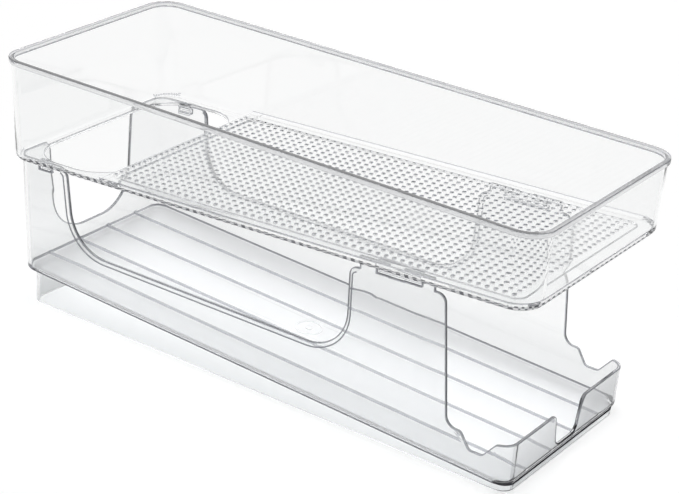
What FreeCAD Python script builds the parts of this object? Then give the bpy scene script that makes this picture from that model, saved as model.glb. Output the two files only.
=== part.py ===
import FreeCAD, Part

import math
import os
import re

import Sketcher
from FreeCAD import Placement, Rotation, Vector

# Fridge can organizer: a long tray stands on the posts of a dispenser bin. Cans are laid across
# the tray, roll down its perforated floor to the rear, drop through the opening there into the
# bin, and roll forward on the bin's floor to the low front wall, where they are taken out.
#
# Frame: +X runs to the dispensing front, +Z up, and the width lies along Y, symmetric about
# Y = 0. The origin is under the middle of the tray's rim, at the level that the bin stands on.
#
# Places along the part are counted from the tray's foot: from its back end for the rear wall, the
# rear posts and the drop opening, and from its front end for the rest.

doc = FreeCAD.newDocument("can_organizer")
sheet = doc.addObject("Spreadsheet::Sheet", "sizes")

SIZES = {
    # upper tray: rim, walls and foot
    "rim_length": 370.0,
    "rim_width": 153.0,
    "rim_height": 160.6,
    "rim_flange": 1.2,
    "rim_drop": 3.0,
    "tray_wall": 2.0,
    "tray_rear_draft": 0.055,
    "tray_front_draft": 0.04,
    "tray_side_draft": 0.014,
    "tray_corner": 15.0,
    "tray_fillet": 4.0,
    # the plane in which the tray's foot rests on the bin
    "seat_level": 105.8,
    "seat_slope": 0.0505,
    # upper tray: ledge, drop opening and perforated panel
    "ledge_side": 10.2,
    "ledge_rear": 8.4,
    "ledge_front": 11.0,
    "drop_front": 73.3,
    "drop_corner": 26.0,
    "bar_width": 5.56,
    "recess_corner": 6.0,
    "panel_depth": 2.7,
    "hole_size": 2.6,
    "hole_front": 16.8,
    "hole_rear": 18.74,
    "hole_side": 12.97,
    "row_count": 13,
    "column_count": 7,
    # lower bin: walls, floor and skirt
    "bin_back": 4.1,
    "bin_front": 8.0,
    "bin_side": 7.28,
    "bin_draft": 0.026,
    "bin_wall": 2.0,
    "bin_corner": 10.0,
    "bin_fillet": 3.0,
    "floor_level": 13.1,
    "floor_slope": 0.0511,
    "skirt_back": 4.2,
    "skirt_front": 0.5,
    "skirt_side": 3.5,
    "skirt_wall": 2.0,
    "skirt_corner": 8.0,
    "rib_step": 26.84,
    "rib_width": 1.5,
    "rib_rise": 1.0,
    "rib_count": 4,
    "gate_place": -4.0,
    "gate_radius": 8.5,
    "gate_line": 0.9,
    "gate_rise": 0.4,
    # lower bin: side windows and posts
    "window_back": 47.3,
    "window_lean": 0.11,
    "window_front": 116.0,
    "window_sill": 48.4,
    "window_corner": 26.5,
    "post_front": 47.6,
    "post_lean": 0.085,
    "post_foot": 29.8,
    "post_blend": 6.5,
    "post_corner": 5.5,
    "post_drop": 5.0,
    "tab_back": 109.5,
    "tab_gap": 9.0,
    "tab_front": 61.0,
    # lower bin: scoops at the front ends of the side walls, front notch and rear opening
    "scoop_back": 38.5,
    "scoop_floor_back": 32.5,
    "scoop_floor_front": 24.2,
    "scoop_front": 15.9,
    "scoop_level": 20.3,
    "scoop_corner": 3.2,
    "front_height": 30.2,
    "notch_half": 14.4,
    "notch_foot_half": 11.0,
    "notch_sill": 2.4,
    "notch_corner": 6.0,
    "notch_flare": 5.0,
    "rear_half": 37.7,
    "rear_foot_half": 34.2,
    "rear_sill": 34.3,
    "rear_corner": 27.0,
    # snap tongues under the ledge and their slots in the posts
    "snap_wall": 1.6,
    "snap_reach": 6.0,
    "snap_bead": 0.9,
    "snap_gap": 0.25,
    "slot_top": 2.3,
    "slot_size": 2.4,
    "front_snap": 84.0,
    "front_snap_width": 28.0,
    "rear_snap": 24.8,
    "rear_snap_width": 9.0,
}
for row, (alias, number) in enumerate(SIZES.items(), 1):
    sheet.set(f"A{row}", alias)
    sheet.set(f"B{row}", str(number))
    sheet.setAlias(f"B{row}", alias)
doc.recompute()


# Expressions

def cells(text):
    """An expression for the document, from one in which the sheet's aliases stand alone."""
    return re.sub(r"[a-z_]+", lambda word: "sizes." + word[0] if word[0] in SIZES else word[0], text)


def value(text):
    """The present value of such an expression."""
    return float(sheet.evalExpression(cells(text)))


def seat_at(x, above="0"):
    """Height of the seat plane at x, and above it."""
    return f"(seat_level + seat_slope * ({x}) + ({above}))"


def floor_at(x, above="0"):
    """Height of the underside of the bin's floor at x, and above it."""
    return f"(floor_level - floor_slope * ({x}) + ({above}))"


def bin_side(height):
    """Half the bin's outer width at a height."""
    return f"({FOOT_SIDE} - bin_side + bin_draft * (({height}) - seat_level))"


def from_back(name):
    """A place that is counted from the back of the tray's foot."""
    return f"({FOOT_BACK} + {name})"


def from_front(name):
    """A place that is counted from the front of the tray's foot."""
    return f"({FOOT_FRONT} - {name})"


def wall_meets(x, height, lean, plane_at):
    """Where a wall that stands at x at a height, and leans by so much per height, meets a plane."""
    level, above = plane_at("0"), plane_at("1")
    return f"((({x}) + ({lean}) * ({level} - ({height}))) / (1 - ({lean}) * ({above} - {level})))"


# Where the tray's outer walls stand at the top, under the rim, and at its foot
TOP_END = "(rim_length / 2 - rim_flange)"
TOP_SIDE = "(rim_width / 2 - rim_flange)"
FOOT_BACK = wall_meets("-" + TOP_END, "rim_height", "-tray_rear_draft", seat_at)
FOOT_FRONT = wall_meets(TOP_END, "rim_height", "tray_front_draft", seat_at)
FOOT_SIDE = f"({TOP_SIDE} - tray_side_draft * (rim_height - {seat_at('0')}))"
DROP_FRONT = from_back("drop_front")
WINDOW_BACK = from_back("window_back")
WINDOW_FRONT = from_front("window_front")
POST_FRONT = from_front("post_front")
BIN_BACK = from_back("bin_back")
BIN_FRONT = from_front("bin_front")
SNAPS = {"front_snap": from_front("front_snap"), "rear_snap": from_back("rear_snap")}
ABOVE_ALL = "(rim_height + 20)"
BEYOND = "rim_length"
HOLE_SIDES = 8


# Sketches

def sketch_on(body, name, role, offset="0", slope=None):
    """A sketch on one of the body's origin planes, moved along its normal and tilted along X."""
    sketch = body.newObject("Sketcher::SketchObject", name)
    face = [item for item in body.Origin.OriginFeatures if item.Role == role][0]
    sketch.AttachmentSupport = [(face, "")]
    sketch.MapMode = "FlatFace"
    sketch.AttachmentOffset = Placement(Vector(0, 0, 0), Rotation(Vector(0, -1, 0), 1))
    sketch.setExpression("AttachmentOffset.Rotation.Angle", cells(f"atan({slope})") if slope else "0")
    sketch.setExpression("AttachmentOffset.Base.z", cells(offset))
    return sketch


def bound(sketch, kind, where, text):
    """A dimension of the sketch, held by an expression."""
    index = sketch.addConstraint(Sketcher.Constraint(kind, *where, value(text)))
    sketch.setExpression(f"Constraints[{index}]", cells(text))


def place(sketch, geometry, point, x, y):
    bound(sketch, "DistanceX", (-1, 1, geometry, point), x)
    bound(sketch, "DistanceY", (-1, 1, geometry, point), y)


def outline(sketch, corners):
    """A closed outline of straight sides, with each corner's x, y and, where round, radius."""
    spots = [Vector(value(corner[0]), value(corner[1]), 0) for corner in corners]
    radii = [value(corner[2]) if len(corner) > 2 else 0 for corner in corners]
    count = len(corners)
    legs = []
    for i, spot in enumerate(spots):
        back = (spots[i - 1] - spot).normalize()
        ahead = (spots[(i + 1) % count] - spot).normalize()
        legs.append((back, ahead, (math.pi - back.getAngle(ahead)) / 2))
    side = sketch.GeometryCount
    for i in range(count):
        following = (i + 1) % count
        start = spots[i] + legs[i][1] * (radii[i] * math.tan(legs[i][2]))
        end = spots[following] + legs[following][0] * (radii[following] * math.tan(legs[following][2]))
        sketch.addGeometry(Part.LineSegment(start, end), False)
    for i, (x, y, *radius) in enumerate(corners):
        before = side + (i - 1) % count
        after = side + i
        if not radius:
            sketch.addConstraint(Sketcher.Constraint("Coincident", before, 2, after, 1))
            place(sketch, after, 1, x, y)
            continue
        back, ahead, half_turn = legs[i]
        middle = (back + ahead).normalize()
        centre = spots[i] + middle * (radii[i] / math.cos(half_turn))
        leftward = back.cross(ahead).z < 0
        turn = math.atan2(-middle.y, -middle.x)
        ring = Part.Circle(centre, Vector(0, 0, 1), radii[i])
        arc = sketch.addGeometry(Part.ArcOfCircle(ring, turn - half_turn, turn + half_turn), False)
        entry, leave = (1, 2) if leftward else (2, 1)
        corner = sketch.addGeometry(Part.Point(spots[i]), True)
        sketch.addConstraint(Sketcher.Constraint("Tangent", before, 2, arc, entry))
        sketch.addConstraint(Sketcher.Constraint("Tangent", arc, leave, after, 1))
        sketch.addConstraint(Sketcher.Constraint("PointOnObject", corner, 1, before))
        sketch.addConstraint(Sketcher.Constraint("PointOnObject", corner, 1, after))
        place(sketch, corner, 1, x, y)
        bound(sketch, "Radius", (arc,), radius[0])
    return sketch


def rectangle(sketch, back, front, half, radius):
    """A rectangle about the X axis with four corners of one radius."""
    return outline(sketch, [(back, f"-({half})", radius), (front, f"-({half})", radius),
                            (front, half, radius), (back, half, radius)])


def circle(sketch, x, y, radius):
    ring = Part.Circle(Vector(value(x), value(y), 0), Vector(0, 0, 1), value(radius))
    geometry = sketch.addGeometry(ring, False)
    place(sketch, geometry, 3, x, y)
    bound(sketch, "Radius", (geometry,), radius)


# Features

def finish_feature(body, feature, bindings):
    for name, text in bindings.items():
        feature.setExpression(name, cells(text))
    body.Tip = feature
    doc.recompute()
    return feature


def pad(body, name, profile, length, reverse=False, taper=None):
    feature = body.newObject("PartDesign::Pad", name)
    feature.Profile = profile
    feature.Reversed = reverse
    bindings = {"Length": length}
    if taper:
        bindings["TaperAngle"] = taper
    return finish_feature(body, feature, bindings)


def cut_through(body, name, profile, both_ways=True, reverse=False):
    """A cut through everything on both sides of its sketch, or on one."""
    feature = body.newObject("PartDesign::Pocket", name)
    feature.Profile = profile
    feature.Type = "ThroughAll"
    feature.Midplane = both_ways
    feature.Reversed = reverse
    return finish_feature(body, feature, {})


def fillet(body, name, names, radius):
    base = body.Tip
    feature = body.newObject("PartDesign::Fillet", name)
    feature.Base = (base, names)
    return finish_feature(body, feature, {"Radius": radius})


def row_of(body, name, features, axis, spacing, count):
    """Copies of a feature along one of the body's axes."""
    feature = body.newObject("PartDesign::LinearPattern", name)
    feature.Originals = features
    line = [item for item in body.Origin.OriginFeatures if item.Role == axis][0]
    feature.Direction = (line, [""])
    feature.Mode = "Spacing"
    return feature, {"Offset": spacing, "Occurrences": count}


def mirrored(body, name, features):
    """The same features on the other side of Y = 0."""
    feature = body.newObject("PartDesign::Mirrored", name)
    feature.Originals = features
    middle = [item for item in body.Origin.OriginFeatures if item.Role == "XZ_Plane"][0]
    feature.MirrorPlane = (middle, [""])
    return finish_feature(body, feature, {})


# Edges and faces found by where they lie

def along(points):
    """A test for points on the plane that runs across the part through two points x, z."""
    (x, z), (other_x, other_z) = points
    slope = (other_z - z) / (other_x - x)
    return lambda point: abs(point.z - z - slope * (point.x - x)) < 0.01


def edges_in(shape, test):
    """Edges whose two ends pass a test."""
    names = []
    for number, edge in enumerate(shape.Edges, 1):
        if len(edge.Vertexes) == 2 and test([vertex.Point for vertex in edge.Vertexes]):
            names.append(f"Edge{number}")
    return names


def faces_in(shape, test):
    """Faces whose corners all pass a test."""
    return [f"Face{number}" for number, face in enumerate(shape.Faces, 1)
            if all(test(vertex.Point) for vertex in face.Vertexes)]


def wall_edges(shape, axis, across, height):
    """Short edges that cross a wall along an axis at a given place and height of its outline."""
    def crosses(ends):
        run = ends[1] - ends[0]
        middle = (ends[0] + ends[1]) / 2
        along_wall, place_across = (run.y, middle.x) if axis == "Y" else (run.x, abs(middle.y))
        near = abs(place_across - across) < 0.5 and abs(middle.z - height) < 0.5
        return near and abs(along_wall) > 0.9 * run.Length
    return edges_in(shape, crosses)


# Both tubs

def tub(body, name, profile, beside, corner, bottom, wall):
    """A tub with drafted walls and round corners, open at the top.

    The profile runs along the foot to the front and back along the top, and the line beside it
    is the slope of a side wall.
    """
    side = sketch_on(body, f"{name}_profile", "XZ_Plane")
    outline(side, profile)
    block = body.newObject("PartDesign::Pad", f"{name}_block")
    block.Profile = side
    block.Midplane = True
    finish_feature(body, block, {"Length": BEYOND})
    draft = sketch_on(body, f"{name}_draft_profile", "YZ_Plane")
    (high_y, high_z), (low_y, low_z) = beside
    for sign in ("", "-"):
        outline(draft, [(f"{sign}({high_y})", high_z), (f"{sign}({low_y})", low_z),
                        (f"{sign}{BEYOND}", low_z), (f"{sign}{BEYOND}", high_z)])
    cut_through(body, f"{name}_draft", draft)
    foot = along([(value(x), value(z)) for x, z in profile[:2]])
    top = along([(value(x), value(z)) for x, z in profile[2:]])
    upright = edges_in(body.Tip.Shape, lambda ends: foot(ends[0]) != foot(ends[1]))
    fillet(body, f"{name}_corners", upright, corner)
    fillet(body, f"{name}_foot_edge", edges_in(body.Tip.Shape, lambda ends: all(map(foot, ends))), bottom)
    block = body.Tip
    shell = body.newObject("PartDesign::Thickness", f"{name}_walls")
    shell.Base = (block, faces_in(block.Shape, top))
    shell.Reversed = True
    finish_feature(body, shell, {"Value": wall})


# Upper tray

def make_tray():
    body = doc.addObject("PartDesign::Body", "upper_tray")
    body.Label = "upper_tray"
    profile = [(FOOT_BACK, seat_at(FOOT_BACK)), (FOOT_FRONT, seat_at(FOOT_FRONT)),
               (TOP_END, "rim_height"), (f"-{TOP_END}", "rim_height")]
    beside = [(TOP_SIDE, "rim_height"), (f"{TOP_SIDE} - tray_side_draft * rim_height", "0")]
    tub(body, "tray", profile, beside, "tray_corner", "tray_fillet", "tray_wall")
    make_ledge(body)
    make_panel(body)
    make_rim(body)
    make_snap(body, "front_snap", "tray_wall + panel_depth / 2")
    make_snap(body, "rear_snap", "tray_wall / 2")
    make_holes(body)
    return body


def make_ledge(body):
    """The drop opening and the recess under the panel, which leave a ledge to stand on."""
    openings = sketch_on(body, "ledge_outline", "XY_Plane")
    side = f"{FOOT_SIDE} - ledge_side"
    rectangle(openings, f"{FOOT_BACK} + ledge_rear", DROP_FRONT, side, "drop_corner")
    rectangle(openings, f"{DROP_FRONT} + bar_width", f"{FOOT_FRONT} - ledge_front", side, "recess_corner")
    cut_through(body, "ledge", openings, both_ways=False, reverse=True)


def make_panel(body):
    """The tray's floor, which ends in a straight edge at the drop opening."""
    panel = sketch_on(body, "panel_outline", "XY_Plane", seat_at("0", "tray_wall"), "seat_slope")
    side = f"({FOOT_SIDE} - tray_wall / 2)"
    front = f"{FOOT_FRONT} - tray_wall / 2"
    corner = "tray_corner - tray_wall / 2"
    outline(panel, [(DROP_FRONT, f"-{side}"), (front, f"-{side}", corner), (front, side, corner),
                    (DROP_FRONT, side)])
    pad(body, "panel", panel, "panel_depth")


def make_rim(body):
    """The flange around the tray's upper edge."""
    rim = sketch_on(body, "rim_outline", "XY_Plane", "rim_height")
    rectangle(rim, "-rim_length / 2", "rim_length / 2", "rim_width / 2", "tray_corner + rim_flange")
    inset = "(rim_flange + tray_wall / 2)"
    rectangle(rim, f"{inset} - rim_length / 2", f"rim_length / 2 - {inset}", f"rim_width / 2 - {inset}",
              "tray_corner - tray_wall / 2")
    pad(body, "rim", rim, "rim_drop", reverse=True)


def snap_band(name, top, bottom, spare="0"):
    """Corners of a band at a tongue's place that follows the seat, between two heights above it."""
    back = f"({SNAPS[name]} - {name}_width / 2 - ({spare}))"
    front = f"({SNAPS[name]} + {name}_width / 2 + ({spare}))"
    return [(back, seat_at(back, bottom)), (front, seat_at(front, bottom)),
            (front, seat_at(front, top)), (back, seat_at(back, top))]


def make_snap(body, name, root):
    """A tongue that hangs inside each side wall of the bin, with a bead that enters its slot."""
    lowest = seat_at(f"{SNAPS[name]} - {name}_width / 2", "-snap_reach")
    face = f"({bin_side(lowest)} - bin_wall - snap_gap)"
    tongue = sketch_on(body, f"{name}_outline", "XZ_Plane", f"{face} - snap_wall")
    outline(tongue, snap_band(name, root, "-snap_reach"))
    plate = pad(body, f"{name}_tongue", tongue, "snap_wall")
    bead = sketch_on(body, f"{name}_bead_outline", "XZ_Plane", face)
    outline(bead, snap_band(name, "-(slot_top + snap_gap)", "-(slot_top + slot_size - snap_gap)"))
    raised = pad(body, f"{name}_bead", bead, "snap_bead", taper="-30")
    mirrored(body, f"{name}_pair", [plate, raised])


def make_holes(body):
    """The panel's rows of holes."""
    hole = sketch_on(body, "hole_outline", "XY_Plane")
    corners = [f"({turn} + 0.5) * 360 / {HOLE_SIDES}" for turn in range(HOLE_SIDES)]
    row, column = from_front("hole_front"), f"({FOOT_SIDE} - hole_side)"
    outline(hole, [(f"{row} + hole_size / 2 * cos({angle})", f"hole_size / 2 * sin({angle}) - {column}")
                   for angle in corners])
    first = cut_through(body, "hole", hole, both_ways=False, reverse=True)
    holes = body.newObject("PartDesign::MultiTransform", "holes")
    holes.Originals = [first]
    row_step = f"({row} - {DROP_FRONT} - hole_rear) / (row_count - 1)"
    rows, row_sizes = row_of(body, "hole_rows", [], "X_Axis", row_step, "row_count")
    rows.Reversed = True
    column_step = f"2 * {column} / (column_count - 1)"
    columns, column_sizes = row_of(body, "hole_columns", [], "Y_Axis", column_step, "column_count")
    for pattern, sizes in ((rows, row_sizes), (columns, column_sizes)):
        for name, text in sizes.items():
            pattern.setExpression(name, cells(text))
    holes.Transformations = [rows, columns]
    finish_feature(body, holes, {})


# Lower bin

def make_bin():
    body = doc.addObject("PartDesign::Body", "lower_bin")
    body.Label = "lower_bin"
    corners = []
    for x, lean, plane_at in ((BIN_BACK, "-bin_draft", floor_at), (BIN_FRONT, "bin_draft", floor_at),
                              (BIN_FRONT, "bin_draft", seat_at), (BIN_BACK, "-bin_draft", seat_at)):
        meets = wall_meets(x, "0", lean, plane_at)
        corners.append((meets, plane_at(meets)))
    beside = [(bin_side("rim_height"), "rim_height"), (bin_side("0"), "0")]
    tub(body, "bin", corners, beside, "bin_corner", "bin_fillet", "bin_wall")
    make_skirt(body, along([(value(x), value(z)) for x, z in corners[:2]]))
    make_floor(body)
    make_windows(body)
    make_front(body)
    make_tabs(body)
    make_rear(body)
    round_posts(body)
    return body


def make_skirt(body, on_floor):
    """The foot that the bin stands on, from the level of the table up to its sloping floor."""
    solid = body.Tip
    skirt = sketch_on(body, "skirt_outline", "XY_Plane")
    for inset in ("0", "skirt_wall"):
        rectangle(skirt, f"{BIN_BACK} + skirt_back + {inset}", f"{BIN_FRONT} - skirt_front - {inset}",
                  f"{bin_side('0')} - skirt_side - {inset}", f"skirt_corner - {inset}")
    feature = body.newObject("PartDesign::Pad", "skirt")
    feature.Profile = skirt
    feature.Type = "UpToFace"
    feature.UpToFace = (solid, faces_in(solid.Shape, on_floor)[:1])
    finish_feature(body, feature, {})


def make_floor(body):
    """Ribs along the floor, and the round marks of the mould's gate."""
    inset = "bin_wall / 2"
    buried = floor_at("0", inset)
    rib = sketch_on(body, "rib_outline", "XY_Plane", buried, "-floor_slope")
    near = "(-rib_step * (rib_count - 1) / 2 - rib_width / 2)"
    back, front = f"{BIN_BACK} + {inset}", f"{BIN_FRONT} - {inset}"
    outline(rib, [(back, near), (front, near), (front, f"{near} + rib_width"), (back, f"{near} + rib_width")])
    first = pad(body, "rib", rib, "bin_wall / 2 + rib_rise")
    ribs, sizes = row_of(body, "ribs", [first], "Y_Axis", "rib_step", "rib_count")
    finish_feature(body, ribs, sizes)
    gate = sketch_on(body, "gate_outline", "XY_Plane", buried, "-floor_slope")
    circle(gate, "gate_place", "0", "gate_radius")
    circle(gate, "gate_place", "0", "gate_radius - gate_line")
    circle(gate, "gate_place", "0", "gate_radius / 4")
    pad(body, "gate_marks", gate, "bin_wall / 2 + gate_rise")


def make_windows(body):
    """The opening in each side wall between the rear and the front post."""
    window = sketch_on(body, "window_profile", "XZ_Plane")
    outline(window, [(WINDOW_BACK, "window_sill", "window_corner"),
                     (WINDOW_FRONT, "window_sill", "window_corner"),
                     (WINDOW_FRONT, ABOVE_ALL),
                     (f"{WINDOW_BACK} - window_lean * ({ABOVE_ALL} - window_sill)", ABOVE_ALL)])
    cut_through(body, "windows", window)
    for name in ("front_snap", "rear_snap"):
        slot = sketch_on(body, f"{name}_slot_profile", "XZ_Plane")
        outline(slot, snap_band(name, "-slot_top", "-(slot_top + slot_size)", "snap_gap"))
        cut_through(body, f"{name}_slot", slot)


def make_front(body):
    """The front posts' leading edges, the scoops beside the mouth and the finger notch."""
    profile = sketch_on(body, "mouth_profile", "XZ_Plane")
    outline(profile, [(f"{POST_FRONT} - post_lean * ({ABOVE_ALL} - post_foot)", ABOVE_ALL),
                      (POST_FRONT, "post_foot", "post_blend"),
                      (from_front("scoop_back"), "post_foot", "scoop_corner"),
                      (from_front("scoop_floor_back"), "scoop_level", "scoop_corner"),
                      (from_front("scoop_floor_front"), "scoop_level", "scoop_corner"),
                      (from_front("scoop_front"), "front_height", "scoop_corner"),
                      (BEYOND, "front_height"),
                      (BEYOND, ABOVE_ALL)])
    cut_through(body, "mouth", profile)
    notch = sketch_on(body, "notch_profile", "YZ_Plane", f"{BIN_FRONT} - bin_corner")
    sill = floor_at(BIN_FRONT, "bin_wall + notch_sill")
    beside = bin_side("0")
    outline(notch, [("-notch_foot_half", sill, "notch_corner"), ("notch_foot_half", sill, "notch_corner"),
                    ("notch_half", "front_height", "notch_flare"), (beside, "front_height"),
                    (beside, "front_height + bin_wall"), (f"-{beside}", "front_height + bin_wall"),
                    (f"-{beside}", "front_height"), ("-notch_half", "front_height", "notch_flare")])
    cut_through(body, "notch", notch, both_ways=False, reverse=True)


def make_rear(body):
    """The opening in the rear wall."""
    opening = sketch_on(body, "rear_profile", "YZ_Plane")
    top = seat_at(BIN_BACK)
    spread = f"(rear_half + (rear_half - rear_foot_half) * ({ABOVE_ALL} - {top}) / ({top} - rear_sill))"
    outline(opening, [("-rear_foot_half", "rear_sill", "rear_corner"),
                      ("rear_foot_half", "rear_sill", "rear_corner"),
                      (spread, ABOVE_ALL), (f"-{spread}", ABOVE_ALL)])
    cut_through(body, "rear_opening", opening, both_ways=False)


def make_tabs(body):
    """The front posts' upper edges, lower than the seat except at two tabs that carry the tray."""
    back, front = from_front("tab_back"), from_front("tab_front")
    middle = f"({back} + {front}) / 2"
    edges = sketch_on(body, "tabs_profile", "XZ_Plane")
    for start, end in ((f"{WINDOW_FRONT} - post_corner", back),
                       (f"{middle} - tab_gap / 2", f"{middle} + tab_gap / 2"),
                       (front, POST_FRONT)):
        outline(edges, [(start, seat_at(start, "-post_drop")), (end, seat_at(end, "-post_drop")),
                        (end, ABOVE_ALL), (start, ABOVE_ALL)])
    cut_through(body, "tabs", edges)


def round_posts(body):
    """Round upper corners on all the posts."""
    shape = body.Tip.Shape
    edges = []
    for foot, level, lean, drop in ((WINDOW_BACK, "window_sill", "-window_lean", "0"),
                                    (WINDOW_FRONT, "window_sill", "0", "-post_drop"),
                                    (POST_FRONT, "post_foot", "-post_lean", "-post_drop")):
        x = wall_meets(foot, level, lean, lambda place: seat_at(place, drop))
        edges += wall_edges(shape, "Y", value(x), value(seat_at(x, drop)))
    back = wall_meets(f"{BIN_BACK} + bin_wall / 2", "0", "-bin_draft", seat_at)
    edges += wall_edges(shape, "X", value("rear_half"), value(seat_at(back)))
    fillet(body, "post_corners", edges, "post_corner")


def write_part(body):
    """The finished sub-part, once it is known to be one sound solid."""
    shape = body.Shape
    if shape.isNull() or not shape.isValid() or len(shape.Solids) != 1:
        raise RuntimeError(f"{body.Label} isn't one valid solid")
    shape.exportStep(os.path.join("parts", f"{body.Label}.step"))
    box = shape.BoundBox
    print(body.Label, f"{shape.Volume / 1000:.1f} cm3", len(shape.Faces), "faces", box)


parts = [make_tray(), make_bin()]
doc.recompute()
for item in doc.Objects:
    if "Invalid" in item.State or "Error" in item.State:
        raise RuntimeError(f"{item.Name} failed: {item.State}")
os.makedirs("parts", exist_ok=True)
for part in parts:
    write_part(part)
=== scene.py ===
import math

import bmesh
import bpy
from mathutils import Matrix, Vector


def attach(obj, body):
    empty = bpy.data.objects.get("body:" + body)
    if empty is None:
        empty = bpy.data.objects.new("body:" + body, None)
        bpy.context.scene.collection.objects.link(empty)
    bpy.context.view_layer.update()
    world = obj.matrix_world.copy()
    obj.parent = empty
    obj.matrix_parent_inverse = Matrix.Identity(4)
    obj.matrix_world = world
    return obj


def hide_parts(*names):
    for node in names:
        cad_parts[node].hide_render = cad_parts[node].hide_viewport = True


# Fridge can organizer in clear, polished plastic on a white table: a tray with a perforated floor
# stands on the posts of a dispenser bin. Both are moulded shells with softly rounded edges.
# The dispensing front is at +X, and the near side, as the camera sees it, at -Y.

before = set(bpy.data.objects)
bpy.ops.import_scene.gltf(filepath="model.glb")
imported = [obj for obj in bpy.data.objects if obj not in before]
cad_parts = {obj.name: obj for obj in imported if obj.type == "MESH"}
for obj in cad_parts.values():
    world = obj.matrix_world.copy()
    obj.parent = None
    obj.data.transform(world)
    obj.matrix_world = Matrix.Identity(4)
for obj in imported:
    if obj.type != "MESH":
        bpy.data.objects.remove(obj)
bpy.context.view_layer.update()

MM = 0.001

# The plane that the tray's foot rests on, and the panel above it
SEAT_LEVEL = 105.8 * MM
SEAT_SLOPE = 0.0505
PANEL_UNDER = 2.0 * MM
PANEL_TOP = 4.7034 * MM

# The panel's holes, counted from the front near corner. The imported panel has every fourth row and
# column of them, and the last row goes through the bar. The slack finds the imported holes' walls,
# and the margin is how far the plate around the holes reaches beyond the outer ones' centres.
HOLE_RADIUS = 1.3 * MM
HOLE_SIDES = 12
FIRST_ROW = 165.176 * MM
ROW_PITCH = 5.28 * MM
ROWS = 52
ROWS_ON_BAR = 1
FIRST_COLUMN = -61.56 * MM
COLUMN_PITCH = 5.13 * MM
COLUMNS = 25
COARSE_EVERY = 4
HOLE_SLACK = 1.05
GRID_MARGIN = 1.6 * MM

# Distances that count as none, the least angle of a sharp edge, and the rounds on such edges
FLAT = 0.03 * MM
WELD = 0.001 * MM
SHARP = math.radians(38)
EDGE_ROUND = 0.5 * MM
BIN_ROUND = 0.7 * MM
FINE_ROUND = 0.2 * MM

# Material slots: two that both shells have, then the tray's own, then the bin's own
CLEAR_SLOT, EDGE_SLOT = 0, 1
FOOT_SLOT, HOLE_SLOT, LIP_SLOT = 2, 3, 4
FLOOR_SLOT, FRONT_SLOT, BASE_SLOT, RIB_SLOT, WALL_SLOT = 2, 3, 4, 5, 6

# Parts of a face's normal along an axis: least ones for a face that looks that way, for a level
# one and for the lip's top, and bounds for the rounds at the foot of the tray's and bin's walls
FACING = 0.9
LEVEL = 0.99
LIP_FACING = 0.5
TRAY_ROUND_FACING = (0.05, 0.99)
BIN_ROUND_FACING = (0.12, 0.9)

# Where the front of both parts begins, where the tray's foot beside its holes ends at the rear and
# at the top, and where the tray's lip begins
FRONT_FACE = 166 * MM
FOOT_REAR = -112 * MM
FOOT_HEIGHT = 3.5 * MM
LIP_LEVEL = 157.4 * MM

# Levels on the bin: the edge it stands on, the foot of its front, the highest place of its floor,
# and the top of the painted shade on its walls
SKIRT_EDGE = 1.5 * MM
FRONT_FOOT = 12 * MM
FLOOR_TOP = 26 * MM
SHADED_WALLS_TOP = 44 * MM

# Across the bin: where its ribs end, and from where its far side has less painted shade
RIBS_HALF = 58 * MM
FAR_SIDE = 40 * MM

# The mould's gate mark on the bin's floor
GATE = Vector((-3.9, 0, 15.5)) * MM
GATE_RADIUS = 9 * MM

# The edges of the side windows: their range along the bin, their least height and distance from
# the middle, and the most that the cut face beside them turns outward
WINDOW_ENDS = (-142 * MM, 71 * MM)
WINDOW_FLOOR = 30 * MM
WINDOW_SIDE = 60 * MM
CUT_FACING = 0.35

# The bead beside each window's edge, drawn in painted grey as the second line that refraction shows
# there
BEAD_OFFSET = 2.7 * MM
BEAD_RADIUS = 0.4 * MM
BEAD_SIDES = 8

# The least area of a packed face that belongs to a wide flat
FLOOR_AREA = 40 * MM * MM

# A round that gets painted grey, standing in for the shade that refraction gives a tight round: its
# least turn for each metre of its width, and the least angle between its faces on the tray and on
# the bin
TIGHT = 0.35 / MM
COARSE_TURN = math.radians(12)
FINE_TURN = math.radians(6)


# Places and directions of faces

def above_seat(spot):
    return spot.z - SEAT_LEVEL - SEAT_SLOPE * spot.x


def on_gate(spot):
    """Whether a place is on the mould's mark in the middle of the bin's floor."""
    return (spot - GATE).length < GATE_RADIUS


def faces_out(face):
    """Whether a face looks away from the middle of the organizer."""
    middle = face.calc_center_median()
    return face.normal.x * middle.x + face.normal.y * middle.y > 0


def on_level(face, level, upward):
    """Whether a face lies in the seat's plane raised to a level, and looks up or down."""
    return (face.normal.z * upward > FACING
            and all(abs(above_seat(vertex.co) - level) < FLAT for vertex in face.verts))


def on_tray_foot(face):
    """Whether a face is on the round under the tray's near wall or front, beside its holes."""
    middle = face.calc_center_median()
    beside_holes = middle.x > FOOT_REAR and (middle.y < 0 or middle.x > FRONT_FACE)
    on_round = (TRAY_ROUND_FACING[0] < -face.normal.z < TRAY_ROUND_FACING[1]
                and -FLAT < above_seat(middle) < FOOT_HEIGHT)
    return faces_out(face) and on_round and beside_holes


def on_lip(face):
    """Whether a face is on the outside, the top or the underside of the tray's lip."""
    return (face.calc_center_median().z > LIP_LEVEL
            and (faces_out(face) or abs(face.normal.z) > LIP_FACING))


def on_bin_floor(face):
    return abs(face.normal.z) > LEVEL and face.calc_area() > FLOOR_AREA


def on_front_wall(face):
    """Whether a face is on the outside of the bin's front wall."""
    middle = face.calc_center_median()
    return middle.x > FRONT_FACE and middle.z < SHADED_WALLS_TOP and face.normal.x > FACING


def on_outer_round(face):
    """Whether a face is on the round under the bin's walls."""
    return (face.calc_center_median().z <= FLOOR_TOP and faces_out(face)
            and BIN_ROUND_FACING[0] < -face.normal.z < BIN_ROUND_FACING[1])


def on_front_round(face):
    return on_outer_round(face) and face.calc_center_median().x > FRONT_FACE


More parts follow.
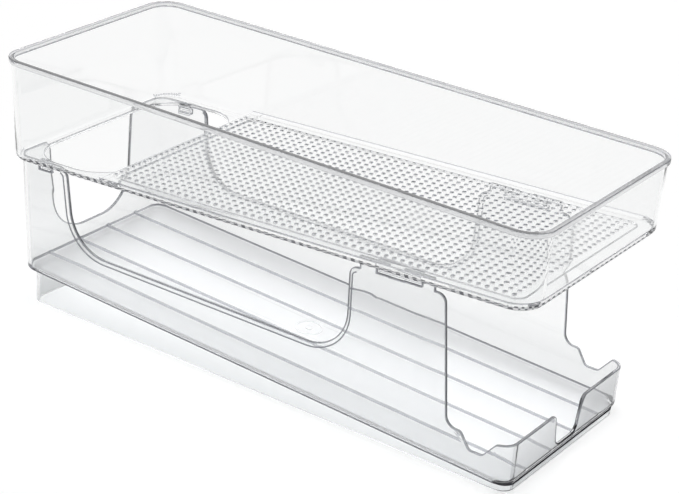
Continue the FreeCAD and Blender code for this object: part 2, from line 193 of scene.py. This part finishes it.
def on_side_round(face):
    """Whether a face is on the round under the bin's near side, or inside beside its far wall."""
    middle = face.calc_center_median()
    if on_outer_round(face):
        return middle.x <= FRONT_FACE and middle.y < 0
    return (middle.z <= FLOOR_TOP and middle.y > RIBS_HALF and not faces_out(face)
            and BIN_ROUND_FACING[0] < face.normal.z < BIN_ROUND_FACING[1])


def is_tight(face, least_turn):
    """Whether a face is on a round that is too tight to look clear, and so gets painted grey."""
    longest = max(edge.calc_length() for edge in face.edges)
    width = 2 * face.calc_area() / longest
    turn = max(edge.calc_face_angle(0) for edge in face.edges
               if edge.calc_length() > longest / 2)
    return least_turn < turn < SHARP and turn > TIGHT * width


# Shells

def shell_of(node):
    """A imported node's mesh with its seams closed."""
    mesh = bmesh.new()
    mesh.from_mesh(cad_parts[node].data)
    bmesh.ops.remove_doubles(mesh, verts=mesh.verts, dist=WELD)
    return mesh


def mark(mesh, slot, chosen):
    """A material slot for each chosen face."""
    for face in mesh.faces:
        if chosen(face):
            face.material_index = slot


def mark_tight_rounds(mesh, least_turn):
    """The slot of the edges on tight rounds that have no slot of their own yet."""
    mark(mesh, EDGE_SLOT, lambda face: (face.material_index == CLEAR_SLOT
                                        and not on_gate(face.calc_center_median())
                                        and is_tight(face, least_turn)))


def sort_low_edges(mesh):
    """The edges' painted grey: taken off where the bin stands, a painted dark line at the foot of
    its front, and paler on its ribs.
    """
    for face in mesh.faces:
        middle = face.calc_center_median()
        if face.material_index != EDGE_SLOT or middle.z > FLOOR_TOP:
            continue
        if middle.z < SKIRT_EDGE:
            face.material_index = CLEAR_SLOT
        elif middle.x > FRONT_FACE and middle.z < FRONT_FOOT:
            face.material_index = FRONT_SLOT
        elif abs(middle.x) < FRONT_FACE and abs(middle.y) < RIBS_HALF:
            face.material_index = RIB_SLOT


def round_edges(mesh, radius, chosen):
    """A small round along each sharp edge whose ends are both chosen."""
    bmesh.ops.recalc_face_normals(mesh, faces=mesh.faces)
    edges = [edge for edge in mesh.edges if len(edge.link_faces) == 2
             and edge.calc_face_angle() > SHARP and all(map(chosen, edge.verts))]
    bmesh.ops.bevel(mesh, geom=edges, offset=radius, offset_type="OFFSET", segments=2, profile=0.5,
                    affect="EDGES", clamp_overlap=False, material=EDGE_SLOT)


def add_object(name, data):
    thing = bpy.data.objects.new(name, data)
    bpy.context.collection.objects.link(thing)
    return thing


def add_mesh(name, mesh, materials):
    """An object with a finished mesh and its materials."""
    data = bpy.data.meshes.new(name)
    mesh.to_mesh(data)
    mesh.free()
    for material in materials:
        data.materials.append(material)
    return add_object(name, data)


def add_shell(name, node, mesh, materials):
    """The finished shell as an object that stands for its node."""
    for face in mesh.faces:
        face.smooth = True
    for edge in mesh.edges:
        edge.smooth = len(edge.link_faces) == 2 and edge.calc_face_angle() < SHARP
    shell = add_mesh(name, mesh, materials)
    normals = shell.modifiers.new("even_shading", "WEIGHTED_NORMAL")
    normals.mode = "FACE_AREA"
    normals.keep_sharp = True
    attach(shell, "root")
    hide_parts(node)


# The perforated panel

def seat_spot(x, y, level):
    """A place in the seat's plane raised to a level."""
    return (x, y, SEAT_LEVEL + SEAT_SLOPE * x + level)


def in_coarse_hole(face):
    """Whether a face is part of a hole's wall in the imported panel."""
    def inside(spot):
        row = (FIRST_ROW - spot.x) / (COARSE_EVERY * ROW_PITCH)
        column = (spot.y - FIRST_COLUMN) / (COARSE_EVERY * COLUMN_PITCH)
        across = (row - round(row)) * COARSE_EVERY * ROW_PITCH
        along = (column - round(column)) * COARSE_EVERY * COLUMN_PITCH
        return math.hypot(across, along) < HOLE_RADIUS * HOLE_SLACK
    return all(inside(vertex.co) and above_seat(vertex.co) > PANEL_UNDER / 2
               for vertex in face.verts)


def hole_rings(mesh, rows, level):
    """The rims of some rows of holes at a level above the seat."""
    rings = {}
    for row in rows:
        for column in range(COLUMNS):
            x = FIRST_ROW - row * ROW_PITCH
            y = FIRST_COLUMN + column * COLUMN_PITCH
            ring = []
            for side in range(HOLE_SIDES):
                turn = side * math.tau / HOLE_SIDES
                spot = seat_spot(x + HOLE_RADIUS * math.cos(turn), y + HOLE_RADIUS * math.sin(turn),
                                 level)
                ring.append(mesh.verts.new(spot))
            rings[row, column] = ring
    return rings


def grid_lines(first, pitch, count):
    """Lines between places in a row, and a line a little beyond each end."""
    inner = [first + pitch * (number + 0.5) for number in range(count - 1)]
    end = math.copysign(GRID_MARGIN, pitch)
    return [first - end] + inner + [first + pitch * (count - 1) + end]


def plate_around(mesh, rings, rows, level):
    """Faces between the rims of some rows of holes, and the edges around them all."""
    xs = grid_lines(FIRST_ROW - rows[0] * ROW_PITCH, -ROW_PITCH, len(rows))
    ys = grid_lines(FIRST_COLUMN, COLUMN_PITCH, COLUMNS)
    knots = [[mesh.verts.new(seat_spot(x, y, level)) for y in ys] for x in xs]
    quarter = HOLE_SIDES // 4
    for i, row in enumerate(rows):
        for j in range(COLUMNS):
            ring = rings[row, j]
            corners = [knots[i][j + 1], knots[i + 1][j + 1], knots[i + 1][j], knots[i][j]]
            for turn, corner in enumerate(corners):
                start = turn * quarter
                rim = [ring[(start + step) % HOLE_SIDES] for step in range(quarter + 1)]
                mesh.faces.new([corner] + rim[::-1])
                mesh.faces.new([corners[turn - 1], corner, rim[0]])
    loop = knots[0] + [line[-1] for line in knots[1:-1]] + knots[-1][::-1]
    loop += [line[0] for line in knots[-2:0:-1]]
    return [mesh.edges.get((loop[k - 1], loop[k])) for k in range(len(loop))]


def open_panel(mesh):
    """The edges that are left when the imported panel's flats and holes are taken away."""
    gone = [face for face in mesh.faces
            if on_level(face, PANEL_UNDER, -1) or on_level(face, PANEL_TOP, 1)
            or on_level(face, 0, -1) or in_coarse_hole(face)]
    bmesh.ops.delete(mesh, geom=gone, context="FACES")
    return [edge for edge in mesh.edges if edge.is_boundary]


def perforate(mesh):
    """The tray's panel with all its holes. Returns the corners of their rims."""
    borders = open_panel(mesh)
    whole = range(ROWS)
    thin, thick = whole[:-ROWS_ON_BAR], whole[-ROWS_ON_BAR:]
    upper = hole_rings(mesh, whole, PANEL_TOP)
    lower = hole_rings(mesh, thin, PANEL_UNDER)
    lower.update(hole_rings(mesh, thick, 0))
    for place, ring in upper.items():
        for side in range(HOLE_SIDES):
            rims_below = [lower[place][side], lower[place][side - 1]]
            wall = mesh.faces.new([ring[side - 1], ring[side]] + rims_below)
            wall.material_index = HOLE_SLOT
    for rings, rows, level in ((upper, whole, PANEL_TOP), (lower, thin, PANEL_UNDER),
                               (lower, thick, 0)):
        around = plate_around(mesh, rings, rows, level)
        beside = [edge for edge in borders
                  if all(abs(above_seat(vertex.co) - level) < FLAT for vertex in edge.verts)]
        bmesh.ops.triangle_fill(mesh, edges=around + beside, use_beauty=True, use_dissolve=False)
    return [vertex for rings in (upper, lower) for ring in rings.values() for vertex in ring]


# The windows' beads

def window_edge(mesh, side):
    """The corners along the outer edge of a side's window, in order."""
    def at_window(spot):
        return (WINDOW_ENDS[0] < spot.x < WINDOW_ENDS[1] and spot.z > WINDOW_FLOOR
                and spot.y * side > WINDOW_SIDE)

    def on_edge(edge):
        outward = [face.normal.y * side for face in edge.link_faces]
        return (len(outward) == 2 and max(outward) > FACING and min(map(abs, outward)) < CUT_FACING
                and all(at_window(vertex.co) for vertex in edge.verts))

    beside = {}
    for edge in filter(on_edge, mesh.edges):
        for vertex in edge.verts:
            beside.setdefault(vertex, []).append(edge.other_vert(vertex))
    ends = [vertex for vertex in beside if len(beside[vertex]) == 1]
    path = [min(ends, key=lambda vertex: vertex.co.x)]
    while True:
        further = [vertex for vertex in beside[path[-1]] if vertex not in path]
        if not further:
            return [vertex.co.copy() for vertex in path]
        path.append(further[0])


def bead_rings(mesh, path, side):
    """Rings of corners around a line beside the window's edge."""
    out = Vector((0, side, 0))
    turns = [step * math.tau / BEAD_SIDES for step in range(BEAD_SIDES)]
    rings = []
    for k, spot in enumerate(path):
        along = (path[min(k + 1, len(path) - 1)] - path[max(k - 1, 0)]).normalized()
        away = Vector((along.z, 0, -along.x)).normalized()
        centre = spot + away * BEAD_OFFSET + out * (BEAD_RADIUS + FLAT)
        ring = [centre + (away * math.cos(turn) + out * math.sin(turn)) * BEAD_RADIUS
                for turn in turns]
        rings.append([mesh.verts.new(corner) for corner in ring])
    return rings


def window_bead(name, path, side, material):
    """A thin round bead on the outer face of the wall, beside the window's edge, in painted grey
    that stands in for the refracted line of the cut edge.
    """
    mesh = bmesh.new()
    rings = bead_rings(mesh, path, side)
    for one, other in zip(rings, rings[1:]):
        for k in range(BEAD_SIDES):
            mesh.faces.new([one[k - 1], one[k], other[k], other[k - 1]])
    mesh.faces.new(rings[0])
    mesh.faces.new(rings[-1])
    bmesh.ops.recalc_face_normals(mesh, faces=mesh.faces)
    for face in mesh.faces:
        face.smooth = len(face.verts) == 4
    bead = add_mesh(name, mesh, [material])
    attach(bead, "root")


# Materials

# The noises behind the plastic's haze and waves, what a wall passes of the lamp's light, and the
# least share of the colour higher up that the bin's far side keeps, where its painted shade is
# lighter
PLASTIC_IOR = 1.49
# The painted grey on edges and rounds, which stands in for the shade that refraction gives them
EDGE_GREY = (0.36, 0.37, 0.4)
HAZE_SCALE, HAZE_DETAIL = 45, 3
HAZE_RANGE = (0.35, 0.75)
HAZE_ROUGHNESS = 0.06
WAVE_SCALE, WAVE_DETAIL = 22, 1
WAVE_STRENGTH = 0.12
LAMP_LIGHT_PASSED = (0.97, 0.975, 0.975)
FAR_SIDE_SHARE = 0.5

TABLE_WHITE = (0.86, 0.86, 0.86)
TABLE_GLOW = 0.34


def nodes_of(name):
    material = bpy.data.materials.new(name)
    material.use_nodes = True
    material.node_tree.nodes.clear()
    return material, material.node_tree.nodes, material.node_tree.links


def noise(nodes, links, place, scale, detail):
    texture = nodes.new("ShaderNodeTexNoise")
    texture.inputs["Scale"].default_value = scale
    texture.inputs["Detail"].default_value = detail
    links.new(place.outputs["Object"], texture.inputs["Vector"])
    return texture.outputs["Fac"]


def larger_of(nodes, links, first, second):
    larger = nodes.new("ShaderNodeMath")
    larger.operation = "MAXIMUM"
    links.new(first, larger.inputs[0])
    links.new(second, larger.inputs[1])
    return larger.outputs["Value"]


def mixed(nodes, links, first, second):
    """A mix of two shaders, in which the share of the second is still to be set."""
    mix = nodes.new("ShaderNodeMixShader")
    links.new(first, mix.inputs[1])
    links.new(second, mix.inputs[2])
    return mix


def painted_hole_rows(nodes, links, place, checks):
    """Two painted tones in turn, standing in for the rows of holes that the foot shows refracted
    behind it.
    """
    rows = nodes.new("ShaderNodeMapping")
    rows.inputs["Scale"].default_value = (2 / ROW_PITCH, 2 / COLUMN_PITCH, 2 / FOOT_HEIGHT)
    links.new(place.outputs["Object"], rows.inputs["Vector"])
    pattern = nodes.new("ShaderNodeTexChecker")
    pattern.inputs["Scale"].default_value = 1
    for number, tone in enumerate(checks, 1):
        pattern.inputs[f"Color{number}"].default_value = (*tone, 1)
    links.new(rows.outputs["Vector"], pattern.inputs["Vector"])
    return pattern.outputs["Color"]


def painted_shade_below(nodes, links, place, low, high):
    """Painted shade that grows towards the bin's foot, less so on its far side."""
    parts = nodes.new("ShaderNodeSeparateXYZ")
    links.new(place.outputs["Object"], parts.inputs["Vector"])
    level = nodes.new("ShaderNodeMapRange")
    level.inputs["From Max"].default_value = SHADED_WALLS_TOP
    links.new(parts.outputs["Z"], level.inputs["Value"])
    side = nodes.new("ShaderNodeMapRange")
    side.inputs["From Max"].default_value = FAR_SIDE
    side.inputs["To Max"].default_value = FAR_SIDE_SHARE
    links.new(parts.outputs["Y"], side.inputs["Value"])
    tint = nodes.new("ShaderNodeMix")
    tint.data_type = "RGBA"
    share = larger_of(nodes, links, level.outputs["Result"], side.outputs["Result"])
    links.new(share, tint.inputs["Factor"])
    tint.inputs["A"].default_value = (*low, 1)
    tint.inputs["B"].default_value = (*high, 1)
    return tint.outputs["Result"]


def faint_haze(nodes, links, place, least):
    """Roughness that varies a little above its least value."""
    rough = nodes.new("ShaderNodeMapRange")
    rough.inputs["From Min"].default_value = HAZE_RANGE[0]
    rough.inputs["From Max"].default_value = HAZE_RANGE[1]
    rough.inputs["To Min"].default_value = least
    rough.inputs["To Max"].default_value = least + HAZE_ROUGHNESS
    links.new(noise(nodes, links, place, HAZE_SCALE, HAZE_DETAIL), rough.inputs["Value"])
    return rough.outputs["Result"]


def faint_waves(nodes, links, place):
    """The slight waves that moulding leaves in a flat."""
    bump = nodes.new("ShaderNodeBump")
    bump.inputs["Strength"].default_value = WAVE_STRENGTH
    bump.inputs["Distance"].default_value = 1 * MM
    links.new(noise(nodes, links, place, WAVE_SCALE, WAVE_DETAIL), bump.inputs["Height"])
    return bump.outputs["Normal"]


def clear_plastic(name, colour, painted_grey_share=0.0, grey=EDGE_GREY, checks=None, soft=0.0, low=None):
    """Clear moulded plastic: polished, faintly wavy, and tinted where light goes in and out.

    The veil is the share of painted grey, which stands in for the shade that refraction gives a
    round too small to look clear. Checks are two painted tones in turn, standing in for the rows of
    holes that the foot shows refracted behind it. Soft is the least roughness. Low is the painted
    shade at the level of the table, where the colour is the one higher up.
    """
    material, nodes, links = nodes_of(name)
    place = nodes.new("ShaderNodeTexCoord")
    body = nodes.new("ShaderNodeBsdfPrincipled")
    body.inputs["Base Color"].default_value = (*colour, 1)
    body.inputs["Transmission Weight"].default_value = 1
    body.inputs["IOR"].default_value = PLASTIC_IOR
    over = nodes.new("ShaderNodeBsdfDiffuse")
    over.inputs["Color"].default_value = (*grey, 1)
    if checks:
        tone = painted_hole_rows(nodes, links, place, checks)
        links.new(tone, body.inputs["Base Color"])
        links.new(tone, over.inputs["Color"])
    if low:
        links.new(painted_shade_below(nodes, links, place, low, colour), body.inputs["Base Color"])
    links.new(faint_haze(nodes, links, place, soft), body.inputs["Roughness"])
    links.new(faint_waves(nodes, links, place), body.inputs["Normal"])
    painted_grey_mix = mixed(nodes, links, body.outputs["BSDF"], over.outputs["BSDF"])
    painted_grey_mix.inputs["Fac"].default_value = painted_grey_share

    light = nodes.new("ShaderNodeLightPath")
    open_to_lamps = nodes.new("ShaderNodeBsdfTransparent")
    open_to_lamps.inputs["Color"].default_value = (*LAMP_LIGHT_PASSED, 1)
    shell = mixed(nodes, links, painted_grey_mix.outputs["Shader"], open_to_lamps.outputs["BSDF"])
    links.new(light.outputs["Is Shadow Ray"], shell.inputs["Fac"])
    out = nodes.new("ShaderNodeOutputMaterial")
    links.new(shell.outputs["Shader"], out.inputs["Surface"])
    return material


def seen_directly(nodes, links):
    """1 for what the camera sees, also in gloss and through clear plastic."""
    light = nodes.new("ShaderNodeLightPath")
    total = light.outputs["Is Camera Ray"]
    for ray in ("Is Glossy Ray", "Is Transmission Ray"):
        total = larger_of(nodes, links, total, light.outputs[ray])
    return total


def white_table():
    """A matt white table that keeps faint shadows."""
    material, nodes, links = nodes_of("white_table_matt")
    matt = nodes.new("ShaderNodeBsdfDiffuse")
    matt.inputs["Color"].default_value = (*TABLE_WHITE, 1)
    lifted = nodes.new("ShaderNodeMath")
    lifted.operation = "MULTIPLY"
    lifted.inputs[1].default_value = TABLE_GLOW
    links.new(seen_directly(nodes, links), lifted.inputs[0])
    glow = nodes.new("ShaderNodeEmission")
    links.new(lifted.outputs["Value"], glow.inputs["Strength"])
    both = nodes.new("ShaderNodeAddShader")
    links.new(matt.outputs["BSDF"], both.inputs[0])
    links.new(glow.outputs["Emission"], both.inputs[1])
    out = nodes.new("ShaderNodeOutputMaterial")
    links.new(both.outputs["Shader"], out.inputs["Surface"])
    return material


# Stage

TABLE_HALF = 6.0
WORLD_LIGHT = 0.56
WORLD_SEEN = 1.0

LAMP_PLACE = Vector((-0.3, 0.8, 2.3))
LAMP_TARGET = Vector((0, 0, 0.08))
LAMP_SIZE = 2.6
LAMP_POWER = 16.5

CAMERA_AZIMUTH = math.radians(33.74)
CAMERA_ELEVATION = math.radians(25.09)
CAMERA_ROLL = math.radians(4.0)
CAMERA_DISTANCE = 1.22328
CAMERA_TARGET = Vector((0.01393, 0, 0.07474))
FOCAL_PIXELS = 2100.39
PHOTO_WIDTH = 679
SENSOR = 36

CLEAR_BOUNCES = 40
GLOSSY_BOUNCES = 12


def make_table():
    data = bpy.data.meshes.new("table")
    corners = [(-1, -1), (1, -1), (1, 1), (-1, 1)]
    data.from_pydata([(TABLE_HALF * x, TABLE_HALF * y, 0) for x, y in corners], [], [(0, 1, 2, 3)])
    data.materials.append(white_table())
    table = add_object("table", data)


def make_world():
    """White surroundings, which light the object with about half the strength that they show."""
    world = bpy.data.worlds.new("white_studio")
    world.use_nodes = True
    bpy.context.scene.world = world
    nodes, links = world.node_tree.nodes, world.node_tree.links
    nodes.clear()
    sky = nodes.new("ShaderNodeBackground")
    sky.inputs["Color"].default_value = (1, 1, 1, 1)
    strength = nodes.new("ShaderNodeMapRange")
    strength.inputs["To Min"].default_value = WORLD_LIGHT
    strength.inputs["To Max"].default_value = WORLD_SEEN
    links.new(seen_directly(nodes, links), strength.inputs["Value"])
    links.new(strength.outputs["Result"], sky.inputs["Strength"])
    out = nodes.new("ShaderNodeOutputWorld")
    links.new(sky.outputs["Background"], out.inputs["Surface"])


def make_lamp():
    """A wide, soft square lamp above, towards the far side."""
    data = bpy.data.lights.new("overhead", "AREA")
    data.size = LAMP_SIZE
    data.energy = LAMP_POWER
    lamp = add_object("overhead", data)
    lamp.location = LAMP_PLACE
    lamp.rotation_euler = (LAMP_TARGET - LAMP_PLACE).to_track_quat("-Z", "Y").to_euler()


def make_camera():
    back = Vector((math.sin(CAMERA_AZIMUTH) * math.cos(CAMERA_ELEVATION),
                   -math.cos(CAMERA_AZIMUTH) * math.cos(CAMERA_ELEVATION),
                   math.sin(CAMERA_ELEVATION)))
    right = Vector((0, 0, 1)).cross(back).normalized()
    up = back.cross(right)
    turned_right = right * math.cos(CAMERA_ROLL) + up * math.sin(CAMERA_ROLL)
    turned_up = up * math.cos(CAMERA_ROLL) - right * math.sin(CAMERA_ROLL)
    data = bpy.data.cameras.new("camera")
    data.sensor_width = SENSOR
    data.lens = FOCAL_PIXELS / PHOTO_WIDTH * SENSOR
    camera = add_object("camera", data)
    turn = Matrix((turned_right, turned_up, back)).transposed()
    place = Matrix.Translation(CAMERA_TARGET + back * CAMERA_DISTANCE)
    camera.matrix_world = place @ turn.to_4x4()
    bpy.context.scene.camera = camera


def settle_render():
    """Plain colours, and enough bounces for light to pass through walls behind one another."""
    scene = bpy.context.scene
    scene.view_settings.view_transform = "Standard"
    scene.cycles.max_bounces = CLEAR_BOUNCES
    scene.cycles.transmission_bounces = CLEAR_BOUNCES
    scene.cycles.transparent_max_bounces = CLEAR_BOUNCES
    scene.cycles.glossy_bounces = GLOSSY_BOUNCES
    scene.cycles.blur_glossy = 0


tray_plastic = clear_plastic("clear_plastic_tray", (0.95, 0.954, 0.954))
# Edges and rounds of the tray: a darker tint and painted grey, standing in for the shade of
# refraction
tray_edges = clear_plastic("clear_plastic_tray_edges", (0.74, 0.75, 0.78), 0.35)
# The foot beside the holes: painted grey, with painted dark and pale rows standing in for the holes
# seen refracted through it
tray_foot = clear_plastic("clear_plastic_tray_foot", (0.76, 0.77, 0.8), 0.7,
                          checks=((0.12, 0.125, 0.14), (0.95, 0.95, 0.96)))
# The holes' walls: a darker tint and some painted grey, painted shade inside the holes
tray_holes = clear_plastic("clear_plastic_tray_holes", (0.68, 0.69, 0.72), 0.12)
# The lip: a share of pale painted grey, standing in for the lines that refraction shows along the
# rim
tray_lip = clear_plastic("clear_plastic_tray_lip", (0.95, 0.954, 0.954), 0.3,
                         grey=(0.9, 0.9, 0.92))
# The bin's plastic: painted shade that deepens towards its foot, less on its far side
bin_plastic = clear_plastic("clear_plastic_bin", (0.92, 0.925, 0.927), low=(0.7, 0.71, 0.715))
# The outside of the front wall: darker, with painted shade that deepens towards the table
bin_front_wall_shade = clear_plastic("clear_plastic_bin_front_wall", (0.78, 0.785, 0.79),
                         low=(0.36, 0.365, 0.38))
# Edges of the bin and the windows' beads: a darker tint and painted grey, standing in for the shade
# of refraction
bin_edges = clear_plastic("clear_plastic_bin_edges", (0.5, 0.51, 0.54), 0.6)
# The bin's floor: a darker tint than its walls, painted shade of the table under it, and rougher
bin_floor = clear_plastic("clear_plastic_bin_floor", (0.84, 0.844, 0.85), soft=0.45)
# The ribs' edges: a paler painted grey
bin_ribs = clear_plastic("clear_plastic_bin_ribs", (0.7, 0.71, 0.74), 0.5, grey=(0.5, 0.51, 0.54))
# The foot of the front: nearly black, a painted dark line standing in for the shade that total
# reflection gives the floor's front edge
bin_front = clear_plastic("clear_plastic_bin_front_edge", (0.1, 0.1, 0.11), 0.9,
                          grey=(0.02, 0.02, 0.025))
# The round under the near side and inside beside the far wall: dark painted grey, a painted shade
# line along the bin's foot
bin_base = clear_plastic("clear_plastic_bin_base_edge", (0.5, 0.51, 0.54), 0.8,
                         grey=(0.2, 0.205, 0.225))
for node, plastic in (("upper_tray", tray_plastic), ("lower_bin", bin_plastic)):
    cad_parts[node].data.materials.clear()
    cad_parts[node].data.materials.append(plastic)

tray = shell_of("upper_tray")
rims = set(perforate(tray))
mark(tray, FOOT_SLOT, on_tray_foot)
mark(tray, LIP_SLOT, on_lip)
mark_tight_rounds(tray, COARSE_TURN)
round_edges(tray, FINE_ROUND, lambda vertex: above_seat(vertex.co) < -FLAT)
round_edges(tray, EDGE_ROUND, lambda vertex: above_seat(vertex.co) > -FLAT and vertex not in rims)
add_shell("tray_shell", "upper_tray", tray,
          [tray_plastic, tray_edges, tray_foot, tray_holes, tray_lip])

bin_mesh = shell_of("lower_bin")
for name, side in (("near", -1), ("far", 1)):
    window_bead(f"{name}_window_bead", window_edge(bin_mesh, side), side, bin_edges)
mark(bin_mesh, FLOOR_SLOT, on_bin_floor)
mark(bin_mesh, WALL_SLOT, on_front_wall)
mark(bin_mesh, FRONT_SLOT, on_front_round)
mark(bin_mesh, BASE_SLOT, on_side_round)
mark_tight_rounds(bin_mesh, FINE_TURN)
round_edges(bin_mesh, BIN_ROUND, lambda vertex: not on_gate(vertex.co))
sort_low_edges(bin_mesh)
add_shell("bin_shell", "lower_bin", bin_mesh,
          [bin_plastic, bin_edges, bin_floor, bin_front, bin_base, bin_ribs, bin_front_wall_shade])

make_table()
make_world()
make_lamp()
make_camera()
settle_render()
